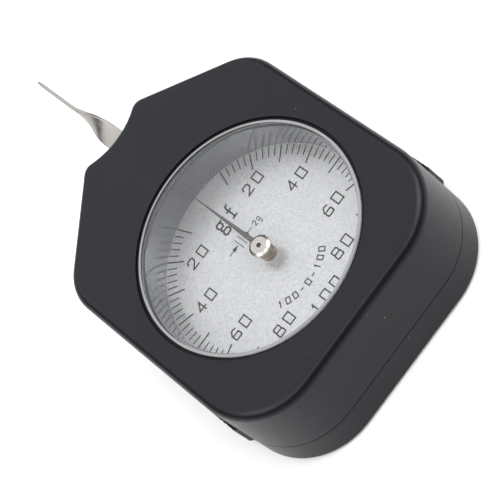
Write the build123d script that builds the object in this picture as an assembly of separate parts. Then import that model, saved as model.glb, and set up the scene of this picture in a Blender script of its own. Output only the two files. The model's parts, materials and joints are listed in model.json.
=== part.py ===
from build123d import *
import math
import os

# Dial tension gauge, in millimetres.
# The frame starts on the dial's axis, at the back face: +Z comes out of the dial, +Y runs along
# the lever and +X is to the right of someone who reads the dial.

# Case plan, measured at the front edge
case_half_width = 29.2
case_depth = 23.4
bottom_margin = 1.2
wall_draft = 0.35
bottom_corner_radius = 15.2
upper_corner_radius = 10.5
shoulder_angle = 38.5
shoulder_drop = 2.4
notch_radius = 15.1
notch_margin = 12.1
horn_radius = 2.9

# Case shells
case_wall = 2.0
front_wall = 2.8
rear_wall = 2.0
front_edge_radius = 2.0
rear_edge_radius = 0.5
seam_share = 0.308
seam_gap = 0.08
seam_chamfer = 0.08
lip_height = 1.5
lip_thickness = 0.8
lip_clearance = 0.1
slot_half_width = 6.2
slot_clearance = 1.4
window_margin = 5.05
window_chamfer = 0.06
tube_wall = 1.15
tube_gap = 0.1
cut_overrun = 1.0

# Case screws and the posts that they pull together
lower_post_angle = -45.7
upper_post_angle = 43.0
post_gap = 0.35
post_radius = 3.0
boss_radius = 3.2
case_screw_radius = 1.2
case_screw_fit = 0.1
case_screw_head_radius = 2.2
case_screw_head_height = 1.3
head_clearance = 0.15
counterbore_depth = 1.6
case_screw_reach = 5.2
cross_width = 0.55
cross_length = 2.6
cross_depth = 0.8

# Side grips, let into the rear shell, with ribs that run along the depth
grip_half_length = 13.1
grip_lift = 0.6
grip_seam_gap = 0.25
grip_recess = 0.6
grip_stand_out = 1.1
grip_lean = 0.12
grip_ramp = 0.95
grip_groove_width = 0.6
grip_groove_depth = 0.5
grip_grooves = 19

# Crystal and the well that it covers
crystal_gap = 0.65
crystal_thickness = 0.95
crystal_recess = 0.05
crystal_bevel_width = 0.55
crystal_bevel_depth = 0.15
gasket_height = 0.5
gasket_clearance = 0.05
well_step = 1.04
well_clearance = 0.1

# Dial
dial_thickness = 0.6
dial_hole_radius = 1.2
ink_thickness = 0.04
division_angle = 1.8
division_units = 2
first_unit = 10
last_unit = 100
scale_margin = 0.16
long_tick_length = 3.65
short_tick_length = 2.2
long_tick_width = 0.25
short_tick_width = 0.2
digit_width = 1.9
digit_height = 2.55
digit_pitch = 2.95
digit_stroke = 0.29
dial_foot_margin = 5.46
dial_foot_radius = 0.9
dial_foot_shoulder = 1.6

# Movement plates and what holds them apart
plate_thickness = 1.2
dial_clearance = 0.7
plate_side_margin = 4.6
plate_bottom_margin = 5.2
plate_shoulder_margin = 2.6
front_plate_corner = 4.5
plate_tongue_half_width = 9.0
plate_tongue_reach = 4.8
plate_tongue_corner = 5.0
rear_plate_gap = 3.95
pillar_radius = 1.6
pillar_tenon_radius = 0.9
pillar_margin = 2.2
lower_pillar_angle = -45.0
upper_pillar_angle = 31.2
plate_screw_radius = 0.6
plate_screw_head_radius = 1.15
plate_screw_head_height = 0.6
plate_screw_reach = 2.5
driver_slot_width = 0.3
driver_slot_depth = 0.3

# Gear train: a toothed sector on the lever's arbor drives the pinion on the pointer's arbor
lever_axis_margin = 12.05
pinion_teeth = 18
sector_full_circle_teeth = 216
sector_teeth = 23
pressure_angle = 20
tooth_thinning = 0.04
addendum_share = 1.0
dedendum_share = 1.25
sector_thickness = 0.8
sector_rim = 3.2
sector_arm_width = 2.2
pinion_overhang = 0.4
lever_travel = 15

# Lever
lever_width = 4.5
lever_thickness = 0.8
lever_spacer_thickness = 0.4
lever_eye_radius = 4.6
straight_reach = 9.2
twist_length = 15.0
blade_length = 11.1
blade_waist_height = 2.6
tip_length = 1.9
tip_height = 1.9
tip_thickness = 0.45
lever_edge_radius = 0.18
tip_edge_radius = 0.1
lever_hub_radius = 2.2
lever_hub_stand = 0.6
lever_flange_thickness = 0.8
rivet_radius = 0.6
rivet_head_radius = 1.1
rivet_head_height = 0.4
rivet_circle = 3.4

# Arbors and their bushes
lever_arbor_radius = 1.0
lever_pivot_radius = 0.6
pinion_arbor_radius = 0.6
pinion_pivot_radius = 0.4
pivot_clearance = 0.05
end_shake = 0.1
bush_wall = 0.75

# Springs, each a flat strip wound in half turns
spring_strip = 0.35
spring_height = 1.6
spring_pitch = 0.95
spring_half_turns = 10
spring_lift = 0.6
collet_radius = 1.9
collet_gap = 0.1
spring_stud_side = 1.3
hair_strip = 0.12
hair_height = 0.6
hair_pitch = 0.62
hair_half_turns = 10
hair_lift = 0.9
hair_collet_radius = 1.15
hair_stud_side = 0.9
stud_slot_clearance = 0.1

# Limit stops
stop_pin_radius = 0.8
stop_pin_margin = 7.0
stop_gap = 0.15

# Pointer
bush_radius = 1.62
bush_foot_gap = 0.25
bush_height = 2.75
bush_groove_depth = 0.15
bush_groove_height = 0.5
pointer_thickness = 0.25
pointer_ring_radius = 1.7
pointer_root_width = 1.2
pointer_tip_width = 0.12
pointer_tip_gap = 2.4
hub_radius = 2.2
hub_height = 0.7
hub_bevel_width = 0.48
hub_bevel_depth = 0.3
hub_hole_radius = 0.5
hub_hole_depth = 0.62

# How the depth that the pieces leave free is shared out: behind the movement, between its plates,
# in front of the pointer's hub, and in front of the lever
rear_spare_share = 0.262
movement_spare_share = 0.148
lever_spare_share = 0.33

# Plan places that follow from the case's width
case_bottom = case_half_width + bottom_margin
shoulder_start = case_half_width - shoulder_drop
notch_bottom = case_half_width + notch_margin
window_radius = case_half_width - window_margin
crystal_radius = window_radius - crystal_gap
well_radius = crystal_radius - well_step
tick_outer_radius = well_radius - scale_margin
dial_foot_x = well_radius - dial_foot_margin
pointer_length = tick_outer_radius - pointer_tip_gap
post_circle = window_radius + tube_wall + post_gap + post_radius
rear_plate_radius = post_circle - boss_radius - rear_plate_gap
pillar_circle = rear_plate_radius - pillar_margin
front_plate_half_width = case_half_width - plate_side_margin
front_plate_low = case_bottom - plate_bottom_margin
front_plate_high = shoulder_start - plate_shoulder_margin
twist_start = notch_bottom + straight_reach
twist_end = twist_start + twist_length
blade_waist = twist_end + blade_length
lever_tip = blade_waist + tip_length

# Radii and places that follow from the gear train
lever_axis = notch_bottom - lever_axis_margin
gear_module = 2 * lever_axis / (pinion_teeth + sector_full_circle_teeth)
sector_pitch_radius = gear_module * sector_full_circle_teeth / 2
stop_pin_circle = sector_pitch_radius - stop_pin_margin
sector_half_angle = 180 * sector_teeth / sector_full_circle_teeth
plate_tongue_top = lever_axis + plate_tongue_reach

# Heights that follow from the case's depth and what is stacked in it
seam_height = seam_share * case_depth
grip_height = seam_height - grip_lift - grip_seam_gap
hub_stack = rivet_head_height + lever_flange_thickness + sector_thickness
lever_stack = lever_spacer_thickness + lever_thickness + lever_hub_stand
movement_stack = spring_lift + spring_height + hub_stack + lever_stack
pointer_stack = bush_foot_gap + bush_height + pointer_thickness + hub_height
rear_stack = rear_wall + plate_screw_head_height + 2 * plate_thickness
front_stack = dial_clearance + dial_thickness + crystal_thickness + crystal_recess
spare_depth = case_depth - rear_stack - movement_stack - front_stack - pointer_stack
movement_spare = movement_spare_share * spare_depth
rear_plate_under = rear_wall + plate_screw_head_height + rear_spare_share * spare_depth
rear_plate_top = rear_plate_under + plate_thickness
front_plate_under = rear_plate_top + movement_stack + movement_spare
front_plate_top = front_plate_under + plate_thickness
dial_under = front_plate_top + dial_clearance
dial_top = dial_under + dial_thickness
pointer_under = dial_top + bush_foot_gap + bush_height
pointer_top = pointer_under + pointer_thickness
hub_top = pointer_top + hub_height
crystal_top = case_depth - crystal_recess
crystal_under = crystal_top - crystal_thickness
lever_top = front_plate_under - lever_hub_stand - lever_spare_share * movement_spare
lever_middle = lever_top - lever_thickness / 2
lever_under = lever_top - lever_thickness
sector_top = lever_under - lever_spacer_thickness
sector_under = sector_top - sector_thickness

def at_angle(centre, radius, degrees):
    """The point at an angle on a circle, in the plan."""
    turn = math.radians(degrees)
    return (centre[0] + radius * math.cos(turn), centre[1] + radius * math.sin(turn))


def arc(centre, radius, start, end):
    """The arc of a circle between two angles, in the plan."""
    middle = (start + end) / 2
    return ThreePointArc(
        at_angle(centre, radius, start),
        at_angle(centre, radius, middle),
        at_angle(centre, radius, end),
    )


def plate_between(face, low, high):
    """A plan face made solid between two heights."""
    return extrude(Pos(0, 0, low) * face, amount=high - low)


def rod(centre, radius, low, high):
    """A round rod along Z."""
    return Pos(centre[0], centre[1], low) * Cylinder(
        radius, high - low, align=(Align.CENTER, Align.CENTER, Align.MIN)
    )


def ring(centre, inner, outer, low, high):
    """A round ring along Z."""
    bore = rod(centre, inner, low - cut_overrun, high + cut_overrun)
    return rod(centre, outer, low, high) - bore


def block(x_range, y_range, z_range):
    """A box between two corners."""
    size = [high - low for low, high in (x_range, y_range, z_range)]
    corner = (x_range[0], y_range[0], z_range[0])
    return Pos(*corner) * Box(*size, align=(Align.MIN, Align.MIN, Align.MIN))


def fused(pieces):
    """The pieces joined into one solid."""
    return pieces[0].fuse(*pieces[1:])


def grouped(pieces):
    """Separate solids that share one node."""
    return Compound(children=list(pieces))


def arc_centres():
    """The centres of the plan's right-hand arcs: bottom corner, upper corner, horn and notch."""
    lean = math.radians(shoulder_angle)
    normal = (math.sin(lean), math.cos(lean))
    along = (-math.cos(lean), math.sin(lean))
    bottom = (case_half_width - bottom_corner_radius, bottom_corner_radius - case_bottom)
    upper_drop = upper_corner_radius * (1 - normal[0]) / normal[1]
    upper = (case_half_width - upper_corner_radius, shoulder_start - upper_drop)
    notch = (0, notch_bottom + notch_radius)
    start = (
        case_half_width - horn_radius * normal[0] - notch[0],
        shoulder_start - horn_radius * normal[1] - notch[1],
    )
    reach = notch_radius + horn_radius
    half_b = start[0] * along[0] + start[1] * along[1]
    constant = start[0] ** 2 + start[1] ** 2 - reach**2
    distance = -half_b - math.sqrt(half_b**2 - constant)
    horn = (
        notch[0] + start[0] + along[0] * distance,
        notch[1] + start[1] + along[1] * distance,
    )
    return bottom, upper, horn, notch


def case_outline(growth):
    """The case's plan with every wall moved outward by growth."""
    bottom, upper, horn, notch = arc_centres()
    lean = 90 - shoulder_angle
    to_notch = math.degrees(math.atan2(notch[1] - horn[1], notch[0] - horn[0]))
    from_notch = to_notch - 180
    right = [
        arc(bottom, bottom_corner_radius + growth, -90, 0),
        arc(upper, upper_corner_radius + growth, 0, lean),
        arc(horn, horn_radius + growth, lean, to_notch),
    ]
    left = [mirror(edge, Plane.YZ) for edge in right]
    hollow = arc(notch, notch_radius - growth, from_notch, -180 - from_notch)
    joints = [
        Line(left[0] @ 0, right[0] @ 0),
        Line(right[0] @ 1, right[1] @ 0),
        Line(right[1] @ 1, right[2] @ 0),
        Line(left[0] @ 1, left[1] @ 0),
        Line(left[1] @ 1, left[2] @ 0),
    ]
    return make_face([*right, *left, hollow, *joints])


def growth_at(height):
    """How far the drafted walls stand outside the front edge's plan at a height."""
    return wall_draft * (case_depth - height) / case_depth


def case_block(low, high, inset):
    """The case's drafted outside, moved in by inset, between two heights."""
    lower = Pos(0, 0, low) * case_outline(growth_at(low) - inset)
    draft_angle = math.degrees(math.atan2(wall_draft, case_depth))
    return extrude(lower, amount=high - low, taper=draft_angle)


def post_centres():
    """Where the four case screws stand."""
    right = [
        at_angle((0, 0), post_circle, turn) for turn in (lower_post_angle, upper_post_angle)
    ]
    return [(side * x, y) for x, y in right for side in (-1, 1)]


def edges_at(solid, height, outside_of=0):
    """The edges that lie flat at a height, further from the dial's axis than a radius."""
    return [
        edge
        for edge in solid.edges()
        if abs(edge.bounding_box().min.Z - height) < wall_draft / case_depth
        and abs(edge.bounding_box().max.Z - height) < wall_draft / case_depth
        and math.hypot(*((edge @ 0.5).X, (edge @ 0.5).Y)) > outside_of
    ]


def front_case():
    """The front shell: drafted walls, a round window, a tube round the dial and four posts."""
    low = seam_height + seam_gap / 2
    shell = case_block(low, case_depth, 0)
    shell = fillet(edges_at(shell, case_depth), front_edge_radius)
    shell = chamfer(edges_at(shell, low), seam_chamfer)
    ceiling = case_depth - front_wall
    shell -= case_block(low - cut_overrun, ceiling, case_wall)
    rebate_top = seam_height + lip_height + lip_clearance
    rebate_inset = case_wall - lip_thickness - lip_clearance
    shell -= case_block(low - cut_overrun, rebate_top, rebate_inset)
    tube_outer = window_radius + tube_wall
    tube_low = front_plate_top + tube_gap
    additions = [rod((0, 0), tube_outer, tube_low, ceiling + cut_overrun)]
    additions += [
        rod(centre, post_radius, front_plate_top, ceiling + cut_overrun)
        for centre in post_centres()
    ]
    shell = fused([shell, *additions])
    shell -= rod((0, 0), window_radius, seam_height, case_depth + cut_overrun)
    rim = [
        edge
        for edge in edges_at(shell, case_depth)
        if math.hypot((edge @ 0.5).X, (edge @ 0.5).Y) < window_radius + tube_wall
    ]
    shell = chamfer(rim, window_chamfer)
    thread_radius = case_screw_radius + pivot_clearance
    thread_top = front_plate_top + case_screw_reach + head_clearance
    for centre in post_centres():
        shell -= rod(centre, thread_radius, front_plate_top - cut_overrun, thread_top)
    slot_half_height = lever_thickness / 2 + slot_clearance
    slot = block(
        (-slot_half_width, slot_half_width),
        (notch_bottom - 2 * case_wall, notch_bottom + 2 * case_wall),
        (lever_middle - slot_half_height, lever_middle + slot_half_height),
    )
    return shell - slot


def rear_case():
    """The rear shell: a tray with a lip inside the seam, and four bosses for the case screws."""
    high = seam_height - seam_gap / 2
    shell = case_block(0, high, 0)
    shell = chamfer(edges_at(shell, high), seam_chamfer)
    shell = fillet(edges_at(shell, 0), rear_edge_radius)
    shell -= case_block(rear_wall, high + cut_overrun, case_wall)
    lip_inset = case_wall - lip_thickness
    lip_low = high - lip_height
    lip = case_block(lip_low, seam_height + lip_height, lip_inset)
    lip -= case_block(lip_low - cut_overrun, seam_height + lip_height + cut_overrun, case_wall)
    bosses = [
        rod(centre, boss_radius, rear_wall / 2, front_plate_under) for centre in post_centres()
    ]
    shell = fused([shell, lip, *bosses])
    bore_radius = case_screw_radius + case_screw_fit
    counterbore_radius = case_screw_head_radius + head_clearance
    for centre in post_centres():
        shell -= rod(centre, bore_radius, -cut_overrun, front_plate_under + cut_overrun)
        shell -= rod(centre, counterbore_radius, -cut_overrun, counterbore_depth)
    for side in (-1, 1):
        shell -= grip_space(side)
    return shell


def grip_space(side):
    """The recess that one side grip is let into."""
    inner = case_half_width + growth_at(grip_lift) - grip_recess
    outer = case_half_width + grip_stand_out + cut_overrun
    x_range = sorted((side * inner, side * outer))
    return block(
        x_range, (-grip_half_length, grip_half_length), (grip_lift, grip_lift + grip_height)
    )


def side_grip(side):
    """One grip, proud of the rear shell's side wall, with ramped ends and a row of ribs."""
    inner = case_half_width + growth_at(grip_lift) - grip_recess
    outer = case_half_width + growth_at(grip_lift) + grip_stand_out
    high = grip_lift + grip_height
    corners = [
        (side * inner, grip_lift),
        (side * outer, grip_lift),
        (side * (outer - grip_lean), high),
        (side * inner, high),
    ]
    section = make_face(Polyline(*[(x, 0, z) for x, z in corners], close=True))
    pad = extrude(section, amount=grip_half_length, dir=(0, 1, 0), both=True)
    end_edges = [
        edge
        for edge in pad.edges()
        if abs((edge @ 0.5).Y) > grip_half_length - grip_ramp
        and abs((edge @ 0.5).X) > outer - grip_lean
        and abs((edge @ 0).Z - (edge @ 1).Z) > grip_height / 2
    ]
    pad = chamfer(end_edges, grip_ramp)
    crest = 2 * (grip_half_length - grip_ramp)
    pitch = (crest + grip_groove_width) / (grip_grooves + 1)
    groove_x = sorted(
        (side * (outer - grip_lean - grip_groove_depth), side * (outer + cut_overrun))
    )
    for index in range(grip_grooves):
        middle = pitch * (index + 1) - (crest + grip_groove_width) / 2
        pad -= block(
            groove_x,
            (middle - grip_groove_width / 2, middle + grip_groove_width / 2),
            (grip_lift - cut_overrun, high + cut_overrun),
        )
    return pad


def case_screws():
    """The four long screws that hold both shells and the front plate together."""
    screws = []
    for centre in post_centres():
        head_low = counterbore_depth - case_screw_head_height
        head = rod(centre, case_screw_head_radius, head_low, counterbore_depth)
        for length, width in ((cross_length, cross_width), (cross_width, cross_length)):
            head -= block(
                (centre[0] - length / 2, centre[0] + length / 2),
                (centre[1] - width / 2, centre[1] + width / 2),
                (head_low - cut_overrun, head_low + cross_depth),
            )
        shank_top = front_plate_top + case_screw_reach
        shank = rod(centre, case_screw_radius, counterbore_depth, shank_top)
        screws.append(head.fuse(shank))
    return grouped(screws)


def crystal():
    """The clear window disc with a wide, shallow bevel round its front edge."""
    half = Polyline(
        (0, crystal_under),
        (crystal_radius, crystal_under),
        (crystal_radius, crystal_top - crystal_bevel_depth),
        (crystal_radius - crystal_bevel_width, crystal_top),
        (0, crystal_top),
        close=True,
    )
    return revolve(Plane.XZ * make_face(half), Axis.Z)


def crystal_gasket():
    """The black seal between the crystal and the window's wall."""
    return ring(
        (0, 0),
        crystal_radius + gasket_clearance,
        window_radius - gasket_clearance,
        crystal_under,
        crystal_under + gasket_height,
    )


def dial_well_ring():
    """The smooth ring between the dial and the crystal."""
    return ring((0, 0), well_radius, window_radius - well_clearance, dial_top, crystal_under)


def dial_plate():
    """The round dial, clamped by its rim under the well ring."""
    return ring((0, 0), dial_hole_radius, window_radius - well_clearance, dial_under, dial_top)


def dial_feet():
    """The two shouldered studs that carry the dial above the front plate."""
    feet = []
    for side in (-1, 1):
        centre = (side * dial_foot_x, 0)
        stem = rod(centre, dial_foot_radius, front_plate_under, dial_under)
        feet.append(stem.fuse(rod(centre, dial_foot_shoulder, front_plate_top, dial_under)))
    return grouped(feet)


def printed(face):
    """A face of ink, lying on the dial."""
    return plate_between(face, dial_top, dial_top + ink_thickness)


def graduation(unit, side):
    """One printed line of the scale."""
    long_line = unit % first_unit == 0
    length = long_tick_length if long_line else short_tick_length
    width = long_tick_width if long_line else short_tick_width
    line = Pos(0, tick_outer_radius - length / 2) * Rectangle(width, length)
    return printed(Rot(0, 0, side * unit * division_angle) * line)


def dial_graduations():
    """The scale's lines, from the first unit on each side down to the one that both share."""
    lines = [
        graduation(unit, side)
        for unit in range(first_unit, last_unit, division_units)
        for side in (-1, 1)
    ]
    return grouped([*lines, graduation(last_unit, 1)])


def stroke(start, end, width):
    """One straight pen stroke between two points, with square ends."""
    length = math.hypot(end[0] - start[0], end[1] - start[1]) + width
    turn = math.degrees(math.atan2(end[1] - start[1], end[0] - start[0]))
    middle = ((start[0] + end[0]) / 2, (start[1] + end[1]) / 2)
    return Pos(*middle) * (Rot(0, 0, turn) * Rectangle(length, width))


def pen_line(share_points, centre, width, height, pen):
    """Strokes through points given as shares of a character's width and height."""
    places = [
        (centre[0] + x_share * (width - pen), centre[1] + y_share * (height - pen))
        for x_share, y_share in share_points
    ]
    return [stroke(start, end, pen) for start, end in zip(places, places[1:])]


# Each digit is one or more pen lines, in shares of its width and height from its centre
digit_line_shares = {
    "0": [[(-0.5, -0.5), (0.5, -0.5), (0.5, 0.5), (-0.5, 0.5), (-0.5, -0.5)]],
    "1": [[(-0.2, 0.3), (0, 0.5), (0, -0.5)]],
    "2": [
        [(-0.5, 0.25), (-0.4, 0.46), (-0.2, 0.5), (0.25, 0.5), (0.45, 0.4), (0.45, 0.15)],
        [(0.45, 0.15), (0.3, -0.02), (-0.5, -0.5), (0.5, -0.5)],
    ],
    "4": [[(0.2, -0.5), (0.2, 0.5), (-0.5, -0.22), (0.5, -0.22)]],
    "6": [
        [(0.4, 0.42), (0.1, 0.5), (-0.2, 0.42), (-0.5, 0.1), (-0.5, -0.4), (-0.4, -0.5)],
        [(-0.4, -0.5), (0.4, -0.5), (0.5, -0.4), (0.5, -0.1), (0.4, 0), (-0.5, 0)],
    ],
    "8": [
        [(-0.35, 0.03), (-0.45, 0.13), (-0.45, 0.4), (-0.35, 0.5), (0.35, 0.5), (0.45, 0.4)],
        [(0.45, 0.4), (0.45, 0.13), (0.35, 0.03), (-0.35, 0.03), (-0.5, -0.08), (-0.5, -0.4)],
        [(-0.5, -0.4), (-0.4, -0.5), (0.4, -0.5), (0.5, -0.4), (0.5, -0.08), (0.35, 0.03)],
    ],
    "-": [[(-0.3, 0), (0.3, 0)]],
}


def digit_strokes(digit, centre, width, height, pen):
    """All the strokes of one digit."""
    strokes = []
    for share_points in digit_line_shares[digit]:
        strokes += pen_line(share_points, centre, width, height, pen)
    return strokes


def number(text, centre):
    """A number of upright digits, centred on a point of the dial."""
    solids = []
    for index, digit in enumerate(text):
        x = centre[0] + digit_pitch * (index - (len(text) - 1) / 2)
        strokes = digit_strokes(digit, (x, centre[1]), digit_width, digit_height, digit_stroke)
        solids.append(fused([printed(piece) for piece in strokes]))
    return solids


# Where the numbers stand, in shares of the scale's radius across and up from the dial's axis
number_place_shares = [
    ("20", 0.395, 0.587),
    ("40", 0.641, 0.233),
    ("60", 0.641, -0.229),
    ("80", 0.399, -0.57),
]
last_number_share = -0.731


def dial_numerals():
    """The scale's numbers, the same on both sides, and the last one at the bottom."""
    solids = []
    for text, across_share, up_share in number_place_shares:
        for side in (-1, 1):
            across = side * across_share * tick_outer_radius
            solids += number(text, (across, up_share * tick_outer_radius))
    return grouped(solids + number("100", (0, last_number_share * tick_outer_radius)))


# Unit mark above the pointer's hub, and the mark that gives one division's value
unit_stroke = 0.36
unit_letter_width = 1.9
unit_x_height = 2.5
unit_baseline = 11.6
unit_letter_offset = 1.6
unit_shift = 0.25
mark_height = 6.92
mark_line_length = 2.76
mark_line_width = 0.16
mark_gap = 1.0
arrow_gap = 0.3
arrow_length = 1.4
arrow_half_width = 0.5
arrow_tail = 1.2
mark_digit_width = 0.75
mark_digit_height = 1.35
mark_digit_stroke = 0.16
mark_text_start = 2.95
mark_text_pitch = 1.1
range_margin = 11.0
range_pitch = 1.7
range_digit_width = 1.1
range_digit_height = 1.5
range_stroke = 0.23

# Pen lines of the two letters of the unit, in shares of letter width and x-height
letter_g_shares = [
    [(-0.32, 0.5), (0.1, 0.5), (0.3, 0.3), (0.3, 0.05), (0.1, -0.12), (-0.3, -0.12)],
    [(-0.3, -0.12), (-0.5, 0.05), (-0.5, 0.3), (-0.32, 0.5)],
    [(0.2, 0.42), (0.5, 0.5)],
    [(-0.3, -0.12), (-0.42, -0.32), (-0.3, -0.5), (0.3, -0.5), (0.5, -0.68), (0.5, -0.9)],
    [(0.5, -0.9), (0.3, -1.08), (-0.3, -1.08), (-0.5, -0.9), (-0.5, -0.7), (-0.3, -0.5)],
]
letter_f_shares = [
    [(0, -0.5), (0, 0.85), (0.15, 1.05), (0.4, 1.08)],
    [(-0.32, 0.45), (0.35, 0.45)],
    [(-0.35, -0.5), (0.35, -0.5)],
]
small_g_shares = [
    [(0.45, -0.4), (-0.3, -0.4), (-0.5, -0.2), (-0.5, 0.2), (-0.3, 0.35), (0.45, 0.35)],
    [(0.45, 0.35), (0.45, -0.8), (0.25, -0.95), (-0.35, -0.95)],
]


def letter(lines_shares, centre, width, height, pen):
    """One letter's strokes, joined."""
    strokes = []
    for share_points in lines_shares:
        strokes += pen_line(share_points, centre, width, height, pen)
    return fused([printed(piece) for piece in strokes])


def arrow(tip_x, direction):
    """An arrow that points along X, with a filled head and a tail."""
    back_x = tip_x - direction * arrow_length
    head = make_face(
        Polyline(
            (tip_x, mark_height),
            (back_x, mark_height + arrow_half_width),
            (back_x, mark_height - arrow_half_width),
            close=True,
        )
    )
    tail = stroke(
        (back_x, mark_height), (back_x - direction * arrow_tail, mark_height), mark_line_width
    )
    return fused([printed(head), printed(tail)])


def dial_unit_marks():
    """The unit, the value of one division, and the scale's range on a curve under the hub."""
    middle = unit_baseline + unit_x_height / 2
    size = (unit_letter_width, unit_x_height, unit_stroke)
    solids = [
        letter(letter_g_shares, (unit_shift - unit_letter_offset, middle), *size),
        letter(letter_f_shares, (unit_shift + unit_letter_offset, middle), *size),
    ]
    first_line = -2 * mark_gap
    for x in (first_line, first_line + mark_gap):
        half = mark_line_length / 2
        line = stroke((x, mark_height - half), (x, mark_height + half), mark_line_width)
        solids.append(printed(line))
    solids.append(arrow(first_line - arrow_gap, 1))
    solids.append(arrow(first_line + mark_gap + arrow_gap, -1))
    small = (mark_digit_width, mark_digit_height, mark_digit_stroke)
    strokes = digit_strokes("2", (mark_text_start, mark_height), *small)
    solids.append(fused([printed(piece) for piece in strokes]))
    small_g_place = (mark_text_start + mark_text_pitch, mark_height)
    solids.append(letter(small_g_shares, small_g_place, *small))
    text = "100-0-100"
    range_radius = tick_outer_radius - range_margin
    pitch_angle = math.degrees(range_pitch / range_radius)
    for index, digit in enumerate(text):
        turn = pitch_angle * (index - (len(text) - 1) / 2)
        size = (range_digit_width, range_digit_height, range_stroke)
        strokes = digit_strokes(digit, (0, -range_radius), *size)
        solids.append(fused([printed(Rot(0, 0, turn) * piece) for piece in strokes]))
    return grouped(solids)


def plate_tongue():
    """The part of both plates that reaches up to the lever's arbor."""
    height = plate_tongue_top + case_bottom / 2
    tongue = RectangleRounded(2 * plate_tongue_half_width, height, plate_tongue_corner)
    return Pos(0, plate_tongue_top - height / 2) * tongue


def pillar_centres():
    """Where the four pillars stand."""
    right = [
        at_angle((0, 0), pillar_circle, turn)
        for turn in (lower_pillar_angle, upper_pillar_angle)
    ]
    return [(side * x, y) for x, y in right for side in (-1, 1)]


def movement_front_plate():
    """The plate that the case screws clamp, with the front bushes in it."""
    width = 2 * front_plate_half_width
    height = front_plate_low + front_plate_high
    body = Pos(0, (front_plate_high - front_plate_low) / 2) * RectangleRounded(
        width, height, front_plate_corner
    )
    plan = body + plate_tongue()
    for centre in post_centres():
        plan -= Pos(*centre) * Circle(case_screw_radius + case_screw_fit)
    for centre in pillar_centres():
        plan -= Pos(*centre) * Circle(pillar_tenon_radius)
    plan -= Pos(0, lever_axis) * Circle(lever_bush_radius())
    plan -= Circle(pinion_bush_radius())
    for centre in stop_pin_centres():
        plan -= Pos(*centre) * Circle(stop_pin_radius)
    for side in (-1, 1):
        plan -= Pos(side * dial_foot_x, 0) * Circle(dial_foot_radius)
    return plate_between(plan, front_plate_under, front_plate_top)


def movement_rear_plate():
    """The plate that carries the rear bushes and both spring studs."""
    plan = Circle(rear_plate_radius) + plate_tongue()
    for centre in pillar_centres():
        plan -= Pos(*centre) * Circle(plate_screw_radius)
    plan -= Pos(0, lever_axis) * Circle(lever_bush_radius())
    plan -= Circle(rear_pinion_bush_radius())
    for centre in stop_pin_centres():
        plan -= Pos(*centre) * Circle(stop_pin_radius)
    return plate_between(plan, rear_plate_under, rear_plate_top)


def movement_pillars():
    """The pillars between the plates, each with a tenon through the front plate."""
    pillars = []
    for centre in pillar_centres():
        body = rod(centre, pillar_radius, rear_plate_top, front_plate_under)
        body += rod(centre, pillar_tenon_radius, front_plate_under, front_plate_top)
        thread_top = rear_plate_top + plate_screw_reach
        body -= rod(centre, plate_screw_radius, rear_plate_top - cut_overrun, thread_top)
        pillars.append(body)
    return grouped(pillars)


def plate_screws():
    """The slotted screws that hold the rear plate to the pillars."""
    screws = []
    for centre in pillar_centres():
        head_low = rear_plate_under - plate_screw_head_height
        head = rod(centre, plate_screw_head_radius, head_low, rear_plate_under)
        half = driver_slot_width / 2
        reach = plate_screw_head_radius + cut_overrun
        head -= block(
            (centre[0] - reach, centre[0] + reach),
            (centre[1] - half, centre[1] + half),
            (head_low - cut_overrun, head_low + driver_slot_depth),
        )
        shank_top = rear_plate_top + plate_screw_reach - end_shake
        shank = rod(centre, plate_screw_radius, rear_plate_under, shank_top)
        screws.append(head.fuse(shank))
    return grouped(screws)


def lever_bush_radius():
    """The outside of the bushes on the lever's arbor."""
    return lever_pivot_radius + pivot_clearance + bush_wall


def pinion_bush_radius():
    """The outside of the front bush on the pointer's arbor."""
    return pinion_arbor_radius + pivot_clearance + bush_wall


def rear_pinion_bush_radius():
    """The outside of the rear bush on the pointer's arbor."""
    return pinion_pivot_radius + pivot_clearance + bush_wall


def arbor_bushes():
    """The brass bushes that the two arbors turn in, front and rear."""
    lever_centre = (0, lever_axis)
    front = (front_plate_under, front_plate_top)
    rear = (rear_plate_under, rear_plate_top)
    lever_bore = lever_pivot_radius + pivot_clearance
    return grouped(
        [
            ring(lever_centre, lever_bore, lever_bush_radius(), *front),
            ring(lever_centre, lever_bore, lever_bush_radius(), *rear),
            ring((0, 0), pinion_arbor_radius + pivot_clearance, pinion_bush_radius(), *front),
            ring(
                (0, 0), pinion_pivot_radius + pivot_clearance, rear_pinion_bush_radius(), *rear
            ),
        ]
    )


def stop_pin_centres():
    """Where the sector's sides meet their stops, just past the end of the lever's travel."""
    reach = math.degrees(math.asin((stop_pin_radius + stop_gap) / stop_pin_circle))
    turn = sector_half_angle + lever_travel + reach
    return [at_angle((0, lever_axis), stop_pin_circle, -90 + side * turn) for side in (-1, 1)]


def stop_pins():
    """The two pins, through both plates, that stop the sector."""
    return grouped(
        rod(centre, stop_pin_radius, rear_plate_under, front_plate_top)
        for centre in stop_pin_centres()
    )


def tooth_half_angle(teeth, radius):
    """Half the angle that one tooth takes up at a radius, in radians."""
    pitch_radius = gear_module * teeth / 2
    base_radius = pitch_radius * math.cos(math.radians(pressure_angle))
    lean = math.radians(pressure_angle)
    roll = math.acos(min(1, base_radius / radius))
    at_pitch = math.pi / (2 * teeth) - tooth_thinning / 2 / pitch_radius
    return at_pitch + (math.tan(lean) - lean) - (math.tan(roll) - roll)


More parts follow.
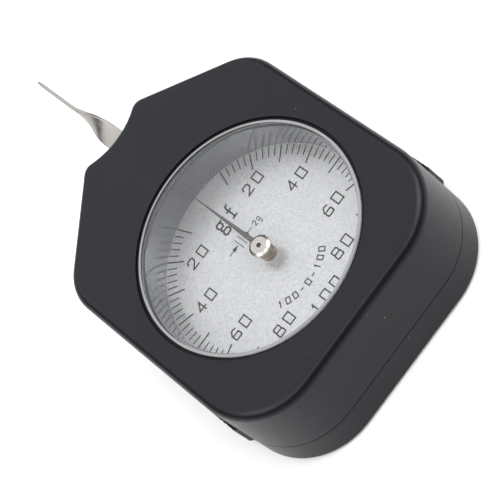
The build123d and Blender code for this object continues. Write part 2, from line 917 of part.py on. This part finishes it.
def tooth_points(teeth, middle):
    """One tooth's outline, as angle and radius, from its right root to its left root."""
    pitch_radius = gear_module * teeth / 2
    base_radius = pitch_radius * math.cos(math.radians(pressure_angle))
    root = pitch_radius - dedendum_share * gear_module
    tip = pitch_radius + addendum_share * gear_module
    start = max(root, base_radius)
    steps = 5
    radii = [start + (tip - start) * index / steps for index in range(steps + 1)]
    flank = [(tooth_half_angle(teeth, radius), radius) for radius in radii]
    if root < start:
        flank.insert(0, (flank[0][0], root))
    right = [(middle + half, radius) for half, radius in flank]
    left = [(middle - half, radius) for half, radius in reversed(flank)]
    return [(turn, radius) for turn, radius in right + left]


def gear_points(teeth, first_angle, count, direction):
    """The outline of some teeth of a gear, one after the other."""
    points = []
    for index in range(count):
        middle = first_angle + direction * 2 * math.pi * index / teeth
        outline = tooth_points(teeth, middle)
        points += outline if direction < 0 else outline[::-1]
    return [(radius * math.cos(turn), radius * math.sin(turn)) for turn, radius in points]


def drive_pinion():
    """The pinion on the pointer's arbor, with a gap between two teeth towards the sector."""
    half_step = math.pi / pinion_teeth
    points = gear_points(pinion_teeth, math.pi / 2 + half_step, pinion_teeth, 1)
    plan = make_face(Polyline(*points, close=True)) - Circle(pinion_arbor_radius)
    return plate_between(plan, sector_under - pinion_overhang, sector_top + pinion_overhang)


def fan_window(start, end):
    """One lightening window of the sector, between two angles from its middle line."""
    inner = lever_eye_radius + sector_arm_width
    outer = sector_pitch_radius - sector_rim
    corners = [at_angle((0, 0), radius, -90 + turn) for radius, turn in (
        (inner, end), (outer, end), (outer, start), (inner, start))]
    return make_face(
        [
            Line(corners[0], corners[1]),
            arc((0, 0), outer, -90 + end, -90 + start),
            Line(corners[2], corners[3]),
            arc((0, 0), inner, -90 + start, -90 + end),
        ]
    )


def sector_gear():
    """The toothed sector on the lever's arbor, with one tooth on the line to the pinion."""
    half_count = (sector_teeth - 1) / 2
    first = -math.pi / 2 - half_count * 2 * math.pi / sector_full_circle_teeth
    points = gear_points(sector_full_circle_teeth, first, sector_teeth, 1)
    plan = make_face(Polyline((0, 0), *points, close=True))
    plan += Circle(lever_eye_radius)
    arm_angle = math.degrees(sector_arm_width / 2 / (sector_pitch_radius - sector_rim))
    for side in (-1, 1):
        near = side * arm_angle
        far = side * (sector_half_angle - 2 * arm_angle)
        plan -= fan_window(min(near, far), max(near, far))
    plan -= Circle(lever_hub_radius)
    for side in (-1, 1):
        plan -= Pos(0, side * rivet_circle) * Circle(rivet_radius)
    return plate_between(Pos(0, lever_axis) * plan, sector_under, sector_top)


def lever_section(along, turn, width, thickness, corner):
    """The lever's cross-section at a distance from the dial's axis, turned about its length."""
    lean = math.radians(turn)
    plane = Plane(
        origin=(0, along, lever_middle),
        x_dir=(math.cos(lean), 0, math.sin(lean)),
        z_dir=(0, 1, 0),
    )
    return plane * RectangleRounded(width, thickness, corner)


def lever_sections():
    """Sections from the flat strip, through its quarter turn, to the waist of the blade."""
    steps = 8
    sections = []
    for index in range(steps + 1):
        share = index / steps
        eased = share * share * (3 - 2 * share)
        along = twist_start + (twist_end - twist_start) * share
        sections.append(
            lever_section(along, 90 * eased, lever_width, lever_thickness, lever_edge_radius)
        )
    return sections


def feeler_lever():
    """The lever: an eye on the hub, a flat strip, a quarter turn and a narrowing blade."""
    strip = Pos(0, (lever_axis + twist_start) / 2) * Rectangle(
        lever_width, twist_start - lever_axis
    )
    plan = Pos(0, lever_axis) * Circle(lever_eye_radius) + strip
    plan -= Pos(0, lever_axis) * Circle(lever_hub_radius)
    for side in (-1, 1):
        plan -= Pos(0, lever_axis + side * rivet_circle) * Circle(rivet_radius)
    flat = plate_between(plan, lever_under, lever_top)
    twist = loft(lever_sections())
    upright = lever_section(twist_end, 90, lever_width, lever_thickness, lever_edge_radius)
    waist = lever_section(blade_waist, 90, blade_waist_height, lever_thickness, lever_edge_radius)
    end = lever_section(lever_tip, 90, tip_height, tip_thickness, tip_edge_radius)
    blade = loft([upright, waist], ruled=True)
    tip = loft([waist, end], ruled=True)
    return fused([flat, twist, blade, tip])


def lever_spacer():
    """The washer between the sector and the lever."""
    washer = ring((0, lever_axis), lever_hub_radius, lever_eye_radius, sector_top, lever_under)
    for side in (-1, 1):
        centre = (0, lever_axis + side * rivet_circle)
        washer -= rod(centre, rivet_radius, sector_under, lever_top)
    return washer


def lever_hub():
    """The flanged hub that the sector and the lever are riveted to."""
    centre = (0, lever_axis)
    flange_low = sector_under - lever_flange_thickness
    barrel = rod(centre, lever_hub_radius, flange_low, lever_top + lever_hub_stand)
    flange = rod(centre, lever_eye_radius, flange_low, sector_under)
    hub = flange.fuse(barrel)
    hub -= rod(centre, lever_arbor_radius, rear_plate_top, front_plate_top)
    for side in (-1, 1):
        rivet_centre = (0, lever_axis + side * rivet_circle)
        hub -= rod(rivet_centre, rivet_radius, rear_plate_top, front_plate_top)
    return hub


def lever_rivets():
    """The two rivets through the flange, the sector, the washer and the lever."""
    low = sector_under - lever_flange_thickness
    rivets = []
    for side in (-1, 1):
        centre = (0, lever_axis + side * rivet_circle)
        shank = rod(centre, rivet_radius, low, lever_top)
        lower_head = rod(centre, rivet_head_radius, low - rivet_head_height, low)
        upper_head = rod(centre, rivet_head_radius, lever_top, lever_top + rivet_head_height)
        rivets.append(fused([shank, lower_head, upper_head]))
    return grouped(rivets)


def lever_arbor():
    """The lever's arbor, with a thinner pivot at each end."""
    centre = (0, lever_axis)
    body = rod(
        centre, lever_arbor_radius, rear_plate_top + end_shake, front_plate_under - end_shake
    )
    pivots = rod(centre, lever_pivot_radius, rear_plate_under, front_plate_top)
    return body.fuse(pivots)


def spring_levels():
    """The heights between which the measuring spring is wound."""
    low = rear_plate_top + spring_lift
    return low, low + spring_height


def hair_levels():
    """The heights between which the hairspring is wound."""
    low = rear_plate_top + hair_lift
    return low, low + hair_height


def spiral_face(first_radius, pitch, half_turns, strip):
    """A strip wound in half turns about two centres, and the middle of its outer end."""
    shift = pitch / 4
    outer, inner = [], []
    for index in range(half_turns):
        centre = ((-shift, 0) if index % 2 == 0 else (shift, 0))
        radius = first_radius + 2 * shift * index
        turn = 180 * index
        outer.append(arc(centre, radius + strip / 2, turn, turn + 180))
        inner.append(arc(centre, radius - strip / 2, turn, turn + 180))
    ends = [Line(outer[-1] @ 1, inner[-1] @ 1), Line(outer[0] @ 0, inner[0] @ 0)]
    end = ((outer[-1] @ 1) + (inner[-1] @ 1)) / 2
    return make_face([*outer, *inner, *ends]), (end.X, end.Y)


def measuring_spring_plan():
    """The measuring spring's plan about the lever's axis, and where its outer end is."""
    first = collet_radius + collet_gap + spring_pitch / 4 + spring_strip / 2
    return spiral_face(first, spring_pitch, spring_half_turns, spring_strip)


def hairspring_plan():
    """The hairspring's plan about the pointer's axis, and where its outer end is."""
    first = hair_collet_radius + collet_gap + hair_pitch / 4 + hair_strip / 2
    return spiral_face(first, hair_pitch, hair_half_turns, hair_strip)


def measuring_spring():
    """The flat spiral that the force on the lever winds."""
    plan, _ = measuring_spring_plan()
    return plate_between(Pos(0, lever_axis) * plan, *spring_levels())


def hairspring():
    """The fine spiral that keeps the teeth against one flank."""
    plan, _ = hairspring_plan()
    return plate_between(plan, *hair_levels())


def spring_stud(end, side, strip, levels):
    """A square stud on the rear plate, with a slot that a spring's outer end is pushed into."""
    half = side / 2
    stud = block(
        (end[0] - half, end[0] + half), (end[1] - half, end[1] + half), (rear_plate_top, levels[1])
    )
    half_slot = strip / 2 + stud_slot_clearance
    return stud - block(
        (end[0] - half_slot, end[0] + half_slot),
        (end[1] - half - cut_overrun, end[1]),
        (levels[0], levels[1] + cut_overrun),
    )


def measuring_spring_stud():
    """The stud that holds the measuring spring's outer end."""
    _, end = measuring_spring_plan()
    place = (end[0], end[1] + lever_axis)
    return spring_stud(place, spring_stud_side, spring_strip, spring_levels())


def hairspring_stud():
    """The stud that holds the hairspring's outer end."""
    _, end = hairspring_plan()
    return spring_stud(end, hair_stud_side, hair_strip, hair_levels())


def measuring_spring_collet():
    """The collet on the lever's arbor, inside the measuring spring."""
    return ring((0, lever_axis), lever_arbor_radius, collet_radius, *spring_levels())


def hairspring_collet():
    """The collet on the pointer's arbor, inside the hairspring."""
    return ring((0, 0), pinion_arbor_radius, hair_collet_radius, *hair_levels())


def pinion_arbor():
    """The pointer's arbor, from the rear bush to inside the pointer's hub."""
    shaft_top = hub_top - hub_hole_depth
    shaft = rod((0, 0), pinion_arbor_radius, rear_plate_top + end_shake, shaft_top)
    pivot = rod((0, 0), pinion_pivot_radius, rear_plate_under, rear_plate_top + end_shake)
    return shaft.fuse(pivot)


def pointer_bush():
    """The turned collar under the pointer, with a shallow groove round it."""
    low = dial_top + bush_foot_gap
    collar = ring((0, 0), pinion_arbor_radius, bush_radius, low, pointer_under)
    middle = (low + pointer_under) / 2
    groove = ring(
        (0, 0),
        bush_radius - bush_groove_depth,
        bush_radius + cut_overrun,
        middle - bush_groove_height / 2,
        middle + bush_groove_height / 2,
    )
    return collar - groove


def pointer():
    """The flat pointer: a ring on the arbor and a blade that narrows to its tip."""
    blade = make_face(
        Polyline(
            (-pointer_root_width / 2, 0),
            (pointer_root_width / 2, 0),
            (pointer_tip_width / 2, pointer_length),
            (-pointer_tip_width / 2, pointer_length),
            close=True,
        )
    )
    plan = blade + Circle(pointer_ring_radius) - Circle(pinion_arbor_radius)
    return plate_between(plan, pointer_under, pointer_top)


def pointer_hub():
    """The nickel cap on the pointer, bevelled, with a small hole over the arbor's end."""
    shaft_top = hub_top - hub_hole_depth
    half = Polyline(
        (pinion_arbor_radius, pointer_top),
        (hub_radius, pointer_top),
        (hub_radius, hub_top - hub_bevel_depth),
        (hub_radius - hub_bevel_width, hub_top),
        (hub_hole_radius, hub_top),
        (hub_hole_radius, shaft_top),
        (pinion_arbor_radius, shaft_top),
        close=True,
    )
    return revolve(Plane.XZ * make_face(half), Axis.Z)


nodes = {
    "front_case": front_case(),
    "rear_case": rear_case(),
    "side_grip_left": side_grip(-1),
    "side_grip_right": side_grip(1),
    "case_screws": case_screws(),
    "crystal": crystal(),
    "crystal_gasket": crystal_gasket(),
    "dial_well_ring": dial_well_ring(),
    "dial_plate": dial_plate(),
    "dial_feet": dial_feet(),
    "dial_graduations": dial_graduations(),
    "dial_numerals": dial_numerals(),
    "dial_unit_marks": dial_unit_marks(),
    "movement_front_plate": movement_front_plate(),
    "movement_rear_plate": movement_rear_plate(),
    "movement_pillars": movement_pillars(),
    "plate_screws": plate_screws(),
    "arbor_bushes": arbor_bushes(),
    "stop_pins": stop_pins(),
    "measuring_spring": measuring_spring(),
    "measuring_spring_stud": measuring_spring_stud(),
    "hairspring": hairspring(),
    "hairspring_stud": hairspring_stud(),
    "feeler_lever": feeler_lever(),
    "lever_spacer": lever_spacer(),
    "lever_hub": lever_hub(),
    "lever_rivets": lever_rivets(),
    "lever_arbor": lever_arbor(),
    "sector_gear": sector_gear(),
    "measuring_spring_collet": measuring_spring_collet(),
    "pinion_arbor": pinion_arbor(),
    "drive_pinion": drive_pinion(),
    "hairspring_collet": hairspring_collet(),
    "pointer_bush": pointer_bush(),
    "pointer": pointer(),
    "pointer_hub": pointer_hub(),
}

os.makedirs("parts", exist_ok=True)
for name, shape in nodes.items():
    export_step(shape, f"parts/{name}.step")
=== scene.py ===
import json
import math

import bpy
from mathutils import Matrix, Quaternion, Vector


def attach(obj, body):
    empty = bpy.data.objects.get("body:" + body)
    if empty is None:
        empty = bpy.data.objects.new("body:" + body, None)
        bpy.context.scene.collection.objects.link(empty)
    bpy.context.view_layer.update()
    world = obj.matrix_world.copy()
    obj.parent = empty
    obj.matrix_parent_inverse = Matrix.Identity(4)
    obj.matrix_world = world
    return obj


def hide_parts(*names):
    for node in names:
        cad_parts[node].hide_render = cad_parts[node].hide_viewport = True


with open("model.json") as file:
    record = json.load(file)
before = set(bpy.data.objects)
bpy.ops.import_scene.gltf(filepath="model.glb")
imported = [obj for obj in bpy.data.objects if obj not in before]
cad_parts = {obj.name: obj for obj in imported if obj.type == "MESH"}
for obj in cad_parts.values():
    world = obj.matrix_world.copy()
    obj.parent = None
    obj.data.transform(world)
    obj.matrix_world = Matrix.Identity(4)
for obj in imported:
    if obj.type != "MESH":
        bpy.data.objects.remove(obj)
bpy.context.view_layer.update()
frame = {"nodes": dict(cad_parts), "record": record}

MM = 0.001
X, Z = 0, 2
nodes = frame["nodes"]

# The camera that was fitted to the dial's circle, its lines and the case's outline: its place, its
# turn as an axis times an angle in radians, its focal length and its sensor's width in mm
CAMERA_PLACE = (-1.57 * MM, -238.87 * MM, 327.24 * MM)
CAMERA_SPIN = (2.2552, -1.1328, -0.3889)
LENS = 151.41
SENSOR = 36.0

# Dust on the case: cells in a metre, and a speck's radius as a share of a cell
DUST_CELLS = 260.0
DUST_SIZE = 0.05
DUST_COLOR = (0.22, 0.22, 0.22)

# Colours as the darkest and the palest of a surface
CASE_SHADES = (0.004, 0.0044, 0.0062), (0.0054, 0.0058, 0.0078)
RUBBER_SHADES = (0.002,) * 3, (0.003,) * 3
INK_SHADES = (0.008,) * 3, (0.014,) * 3
PAINT_SHADES = (0.05,) * 3, (0.06,) * 3
# The hub bore's shades are painted shade that darkens the inside of the hole
BORE_PAINTED_SHADES = (0.03, 0.02, 0.017), (0.045, 0.032, 0.028)
WALL_SHADES = (0.072, 0.074, 0.079), (0.082, 0.084, 0.089)
# The crystal rim's shades are painted light: a pale skin in place of the light the bevel gathers
RIM_PAINTED_LIGHT_SHADES = (0.165, 0.167, 0.17), (0.195, 0.198, 0.202)
DIAL_SHADES = (0.318, 0.3175, 0.319), (0.414, 0.4132, 0.4145)
SCREW_SHADES = (0.2,) * 3, (0.3,) * 3
PLATE_SHADES = (0.62, 0.42, 0.17), (0.72, 0.52, 0.25)
ARBOR_SHADES = (0.5,) * 3, (0.62,) * 3
SPRING_SHADES = (0.12, 0.14, 0.2), (0.2, 0.22, 0.3)
LEVER_SHADES = (0.265, 0.252, 0.236), (0.32, 0.306, 0.288)
NICKEL_SHADES = (0.33, 0.308, 0.285), (0.37, 0.345, 0.32)
# The bush's shades are its brass colour, spread wide into broad dark and pale patches that are
# painted reflections
BUSH_SHADES_AND_PAINTED_REFLECTIONS = (0.055, 0.042, 0.03), (0.27, 0.22, 0.14)
FLOOR_SHADES = (0.77,) * 3, (0.79,) * 3

# The brushed lines along the lever
LEVER_STRETCH = (1, 0.03, 1)

# Refraction, and the share of light that each face of the crystal mirrors seen straight on
PLASTIC_IOR = 1.28
WALL_IOR = 1.75
ACRYLIC_IOR = 1.49
CRYSTAL_MIRROR = 0.0217

# Lamps: name, place, what it faces, width and height in metres, and radiance
LAMPS = (
    ("overhead", (0, 0.7, 0.6), (0, 0.7, 0), (1.6, 1.8), 1.9),
    ("front_strip", (0, -0.35, 0.58), (0, 0, 0.02), (1.2, 0.16), 5.6),
    ("right", (0.6, -0.1, 0.62), (0, 0, 0.02), (0.5, 0.5), 6.0),
    ("left", (-0.6, -0.1, 0.62), (0, 0, 0.02), (0.5, 0.5), 3.7),
)
# The radiance of the room all round
ROOM_LIGHT = 0.06


def camera():
    """The photograph's camera: where it stands, and how it turns its own axes into the frame's."""
    data = bpy.data.cameras.new("camera")
    data.lens = LENS
    data.sensor_width = SENSOR
    data.clip_start = 0.01
    data.clip_end = 10.0
    eye = bpy.data.objects.new("camera", data)
    spin = Vector(CAMERA_SPIN)
    rows = Quaternion(spin.normalized(), spin.length).to_matrix()
    turn = Matrix((rows[0], -rows[1], -rows[2])).transposed()
    eye.matrix_world = Matrix.Translation(CAMERA_PLACE) @ turn.to_4x4()
    bpy.context.scene.collection.objects.link(eye)
    bpy.context.scene.camera = eye


class Shader:
    """A material's node tree, built with short calls."""

    def __init__(self, name):
        self.material = bpy.data.materials.new(name)
        self.material.use_nodes = True
        self.tree = self.material.node_tree
        self.tree.nodes.clear()
        self.output = self.add("ShaderNodeOutputMaterial")
        self.bsdf = self.add("ShaderNodeBsdfPrincipled")
        self.link(self.bsdf.outputs[0], self.output.inputs["Surface"])

    def add(self, kind, **settings):
        node = self.tree.nodes.new(kind)
        for key, value in settings.items():
            setattr(node, key, value)
        return node

    def link(self, source, target):
        self.tree.links.new(source, target)

    def set(self, **values):
        """Sets the shader's own sockets, with _ for each space in a socket's name."""
        for key, value in values.items():
            self.bsdf.inputs[key.replace("_", " ")].default_value = value

    def place(self, scale):
        """The surface's own place in metres, stretched by scale."""
        where = self.add("ShaderNodeTexCoord")
        stretch = self.add("ShaderNodeMapping")
        stretch.inputs["Scale"].default_value = scale
        self.link(where.outputs["Object"], stretch.inputs["Vector"])
        return stretch.outputs["Vector"]

    def noise(self, scale, detail=3.0, roughness=0.5, stretch=(1, 1, 1)):
        node = self.add("ShaderNodeTexNoise")
        node.inputs["Scale"].default_value = scale
        node.inputs["Detail"].default_value = detail
        node.inputs["Roughness"].default_value = roughness
        self.link(self.place(stretch), node.inputs["Vector"])
        return node.outputs["Fac"]

    def spread(self, source, low, high, start=0.3, end=0.7):
        """source, from start to end, turned into a number from low to high."""
        node = self.add("ShaderNodeMapRange")
        node.inputs["From Min"].default_value = start
        node.inputs["From Max"].default_value = end
        node.inputs["To Min"].default_value = low
        node.inputs["To Max"].default_value = high
        self.link(source, node.inputs["Value"])
        return node.outputs["Result"]

    def tint(self, source, shades, start=0.3, end=0.7):
        """source, from start to end, turned into a colour between the two shades."""
        node = self.add("ShaderNodeValToRGB")
        for stop, position, shade in zip(node.color_ramp.elements, (start, end), shades):
            stop.position = position
            stop.color = (*shade, 1)
        self.link(source, node.inputs["Fac"])
        return node.outputs["Color"]

    def specks(self, source):
        """A few tiny pale specks of dust, scattered over a colour."""
        cells = self.add("ShaderNodeTexVoronoi", feature="F1")
        cells.inputs["Scale"].default_value = DUST_CELLS
        self.link(self.place((1, 1, 1)), cells.inputs["Vector"])
        near = self.spread(cells.outputs["Distance"], 1.0, 0.0, DUST_SIZE * 0.5, DUST_SIZE)
        picked = self.spread(self.noise(DUST_CELLS * 0.4, 1.0), 0.0, 1.0, 0.5, 0.6)
        both = self.add("ShaderNodeMath", operation="MULTIPLY")
        self.link(near, both.inputs[0])
        self.link(picked, both.inputs[1])
        mixed = self.add("ShaderNodeMix", data_type="RGBA")
        self.link(both.outputs[0], mixed.inputs["Factor"])
        self.link(source, mixed.inputs["A"])
        mixed.inputs["B"].default_value = (*DUST_COLOR, 1)
        return mixed.outputs["Result"]

    def color(self, source):
        self.link(source, self.bsdf.inputs["Base Color"])

    def rough(self, source):
        self.link(source, self.bsdf.inputs["Roughness"])

    def bump(self, source, strength, distance):
        node = self.add("ShaderNodeBump")
        node.inputs["Strength"].default_value = strength
        node.inputs["Distance"].default_value = distance
        self.link(source, node.inputs["Height"])
        self.link(node.outputs["Normal"], self.bsdf.inputs["Normal"])


def plastic(name, shades, roughness, grain, depth, dust=False):
    """Moulded plastic: slight colour changes, an even sheen and a fine moulded grain."""
    shader = Shader(name)
    color = shader.tint(shader.noise(60.0, 5.0), shades)
    if dust:
        color = shader.specks(color)
    shader.color(color)
    fine = shader.noise(grain, 2.0, 0.6)
    shader.rough(shader.spread(fine, roughness - 0.03, roughness + 0.03))
    shader.bump(fine, 0.5, depth)
    shader.set(IOR=PLASTIC_IOR, Specular_Tint=(0.93, 0.935, 1.0, 1))
    return shader.material


def metal(name, shades, roughness, stretch=(1, 1, 1), grain=900.0, depth=0.000004):
    """Metal with fine lines that run the way its coordinates are stretched."""
    shader = Shader(name)
    lines = shader.noise(grain, 4.0, 0.6, stretch)
    shader.color(shader.tint(lines, shades))
    shader.rough(shader.spread(lines, roughness - 0.06, roughness + 0.06))
    shader.bump(lines, 0.4, depth)
    shader.set(Metallic=1.0)
    return shader.material


def clear_glass(name):
    """A flat clear disc: it mirrors by angle, alike on both faces, and lets light straight
    through."""
    shader = Shader(name)
    through = shader.add("ShaderNodeBsdfTransparent")
    through.inputs["Color"].default_value = (0.975, 0.98, 0.985, 1)
    mirror = shader.add("ShaderNodeBsdfGlossy")
    mirror.inputs["Roughness"].default_value = 0.02
    slant = shader.add("ShaderNodeLayerWeight")
    steep = shader.add("ShaderNodeMath", operation="POWER")
    steep.inputs[1].default_value = 5.0
    shader.link(slant.outputs["Facing"], steep.inputs[0])
    amount = shader.add("ShaderNodeMapRange")
    amount.inputs["To Min"].default_value = CRYSTAL_MIRROR
    amount.inputs["To Max"].default_value = 1.0
    shader.link(steep.outputs[0], amount.inputs["Value"])
    mixed = shader.add("ShaderNodeMixShader")
    shader.link(amount.outputs[0], mixed.inputs[0])
    shader.link(through.outputs[0], mixed.inputs[1])
    shader.link(mirror.outputs[0], mixed.inputs[2])
    shader.tree.nodes.remove(shader.bsdf)
    shader.link(mixed.outputs[0], shader.output.inputs["Surface"])
    return shader.material


def dial_silver(name):
    """Sandblasted silver: a tight bright grain."""
    shader = Shader(name)
    grain = shader.noise(3000.0, 1.0, 0.7)
    shader.color(shader.tint(grain, DIAL_SHADES, 0.36, 0.64))
    shader.rough(shader.spread(grain, 0.3, 0.37))
    shader.bump(grain, 0.25, 0.000006)
    shader.set(Metallic=0.65)
    return shader.material


def glossy_wall(name):
    """Smooth moulded wall that mirrors the dial's edge."""
    shader = Shader(name)
    shader.color(shader.tint(shader.noise(80.0, 3.0), WALL_SHADES))
    shader.rough(shader.spread(shader.noise(300.0), 0.08, 0.09))
    shader.set(IOR=WALL_IOR)
    return shader.material


def rim_painted_light(name):
    """The crystal's bevelled rim, with the light it gathers painted in as a pale colour."""
    shader = Shader(name)
    shader.color(shader.tint(shader.noise(90.0, 3.0), RIM_PAINTED_LIGHT_SHADES))
    shader.rough(shader.spread(shader.noise(400.0), 0.18, 0.28))
    shader.set(IOR=ACRYLIC_IOR)
    return shader.material


# After its shades, each plastic has its roughness, its grain's cells in a metre and its grain's
# depth in metres. A metal has its roughness, and its lines only where they aren't the usual ones.
MATERIALS = {
    "case_plastic": plastic("case_plastic", CASE_SHADES, 0.34, 5000.0, 0.000005, dust=True),
    "grip_plastic": plastic("grip_plastic", CASE_SHADES, 0.4, 4000.0, 0.00001),
    "screw_steel": metal("screw_steel", SCREW_SHADES, 0.35),
    "crystal_clear": clear_glass("crystal_clear"),
    "gasket_rubber": plastic("gasket_rubber", RUBBER_SHADES, 0.7, 3000.0, 0.00001),
    "well_plastic": glossy_wall("well_plastic"),
    "dial_metal": dial_silver("dial_metal"),
    "dial_ink": plastic("dial_ink", INK_SHADES, 0.5, 9000.0, 0.000003),
    "plate_brass": metal("plate_brass", PLATE_SHADES, 0.3),
    "arbor_steel": metal("arbor_steel", ARBOR_SHADES, 0.22),
    "spring_steel": metal("spring_steel", SPRING_SHADES, 0.3),
    "lever_steel": metal("lever_steel", LEVER_SHADES, 0.36, LEVER_STRETCH, grain=2500.0),
    "nickel": metal("nickel", NICKEL_SHADES, 0.25, depth=0.0000003),
    "pointer_paint": plastic("pointer_paint", PAINT_SHADES, 0.5, 6000.0, 0.000001),
}
# Pieces whose finish differs from the rest of their slot
OWN_MATERIALS = {
    # The bush's brass is broken into broad dark and pale patches, painted reflections of its
    # surroundings
    "pointer_bush": metal("bush_brass_painted_reflections", BUSH_SHADES_AND_PAINTED_REFLECTIONS, 0.2, grain=300.0, depth=0.000001),
}
# Neighbouring faces of a spun piece that meet at more than this stay sharp
SHARP_ANGLE = math.radians(30)


def spun(name, profile, material, body, segments=256):
    """A ring round the dial's axis. Its closed profile, as radii and heights in mm, runs outward
    along the top and back along the bottom."""
    corners = []
    faces = []
    count = len(profile)
    for step in range(segments):
        turn = 2 * math.pi * step / segments
        for radius, height in profile:
            across = radius * MM
            corners.append((across * math.cos(turn), across * math.sin(turn), height * MM))
        for index in range(count):
            after = (index + 1) % count
            here = step * count
            there = (step + 1) % segments * count
            faces.append((here + index, here + after, there + after, there + index))
    mesh = bpy.data.meshes.new(name)
    mesh.from_pydata(corners, [], faces)
    mesh.shade_smooth()
    mesh.set_sharp_from_angle(angle=SHARP_ANGLE)
    mesh.materials.append(material)
    piece = bpy.data.objects.new(name, mesh)
    bpy.context.scene.collection.objects.link(piece)
    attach(piece, body)
    return piece


def reach(node, axis):
    """How low and how high a node reaches along an axis, in mm."""
    places = [corner[axis] / MM for corner in nodes[node].bound_box]
    return min(places), max(places)


def crystal_rim():
    """The pale light in the crystal's shallow bevel, painted as a pale skin on the bevel."""
    radius = reach("crystal", X)[1]
    top = reach("crystal", Z)[1]
    width = 0.54
    drop = 0.147
    skin = 0.012
    profile = [
        (radius - width, top + skin / 2),
        (radius - skin, top - drop + skin),
        (radius - skin, top - drop + skin / 2),
        (radius - width, top),
    ]
    # The skin's pale colour is painted light, not the acrylic's own colour
    spun("crystal_rim", profile, rim_painted_light("rim_painted_light"), "case")


def well_wall():
    """The well ring with a softened upper edge, just clear of the crystal that lies on it, and
    the thin dark line where the crystal is seated."""
    ring = nodes["dial_well_ring"]
    inner = min(math.hypot(vertex.co.x, vertex.co.y) for vertex in ring.data.vertices) / MM
    outer = reach("dial_well_ring", X)[1]
    low, high = reach("dial_well_ring", Z)
    clear = 0.04
    edge = 0.08
    top = high - clear
    profile = [(inner + edge, top), (outer, top), (outer, low), (inner, low), (inner, top - edge)]
    wall = spun("dial_well_wall", profile, MATERIALS["well_plastic"], "case")
    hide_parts("dial_well_ring")
    seat = 0.42
    line = 0.1
    lift = 0.015
    profile = [
        (inner + seat, top + lift),
        (inner + seat + line, top + lift),
        (inner + seat + line, top),
        (inner + seat, top),
    ]
    spun("crystal_seat_line", profile, MATERIALS["gasket_rubber"], "case")


def hub_bore():
    """The inside of the small hole in the pointer's hub, lined with a dark skin of painted shade.
    """
    top = reach("pointer_hub", Z)[1]
    bottom = reach("pinion_arbor", Z)[1]
    bore = 0.49
    skin = 0.03
    centre = 0.01
    profile = [
        (centre, bottom),
        (centre, bottom + skin),
        (bore - 2 * skin, bottom + skin),
        (bore - skin, top - skin),
        (bore, top - skin),
        (bore, bottom),
    ]
    # A dark skin that paints the shade inside the hole, not a finish of the metal
    dark = plastic("bore_painted_shade", BORE_PAINTED_SHADES, 0.6, 4000.0, 0.00001)
    spun("hub_bore", profile, dark, "pointer_assembly", 64)


def dress():
    """Gives each CAD node the material of its slot."""
    for row in frame["record"]["subparts"]:
        node = nodes[row["node"]]
        node.data.materials.clear()
        slot = MATERIALS[row["material_slot"]]
        node.data.materials.append(OWN_MATERIALS.get(row["node"], slot))


def floor():
    """A plain pale floor."""
    shader = Shader("floor")
    shader.color(shader.tint(shader.noise(30.0), FLOOR_SHADES))
    shader.set(Roughness=0.9)
    mesh = bpy.data.meshes.new("floor")
    half = 3.0
    low = -0.0005
    corners = [(-half, -half, low), (half, -half, low), (half, half, low), (-half, half, low)]
    mesh.from_pydata(corners, [], [(0, 1, 2, 3)])
    mesh.materials.append(shader.material)
    sheet = bpy.data.objects.new("floor", mesh)
    bpy.context.scene.collection.objects.link(sheet)


def softbox(name, place, target, size, radiance):
    """A soft rectangular lamp that faces a target, as bright to look at as its radiance."""
    data = bpy.data.lights.new(name, "AREA")
    data.shape = "RECTANGLE"
    data.size, data.size_y = size
    data.energy = radiance * math.pi * size[0] * size[1]
    lamp = bpy.data.objects.new(name, data)
    lamp.location = place
    lamp.rotation_mode = "QUATERNION"
    aim = Vector(target) - Vector(place)
    lamp.rotation_quaternion = aim.to_track_quat("-Z", "Y")
    bpy.context.scene.collection.objects.link(lamp)


def light():
    """Soft studio light: a wide box overhead and behind, a strip in front, a box at each side and
    a dim pale room."""
    world = bpy.data.worlds.new("world")
    world.use_nodes = True
    back = world.node_tree.nodes["Background"]
    back.inputs["Color"].default_value = (1, 1, 1, 1)
    back.inputs["Strength"].default_value = ROOM_LIGHT
    bpy.context.scene.world = world
    for lamp in LAMPS:
        softbox(*lamp)
    bpy.context.scene.view_settings.view_transform = "Standard"


camera()
dress()
crystal_rim()
well_wall()
hub_bore()
floor()
light()
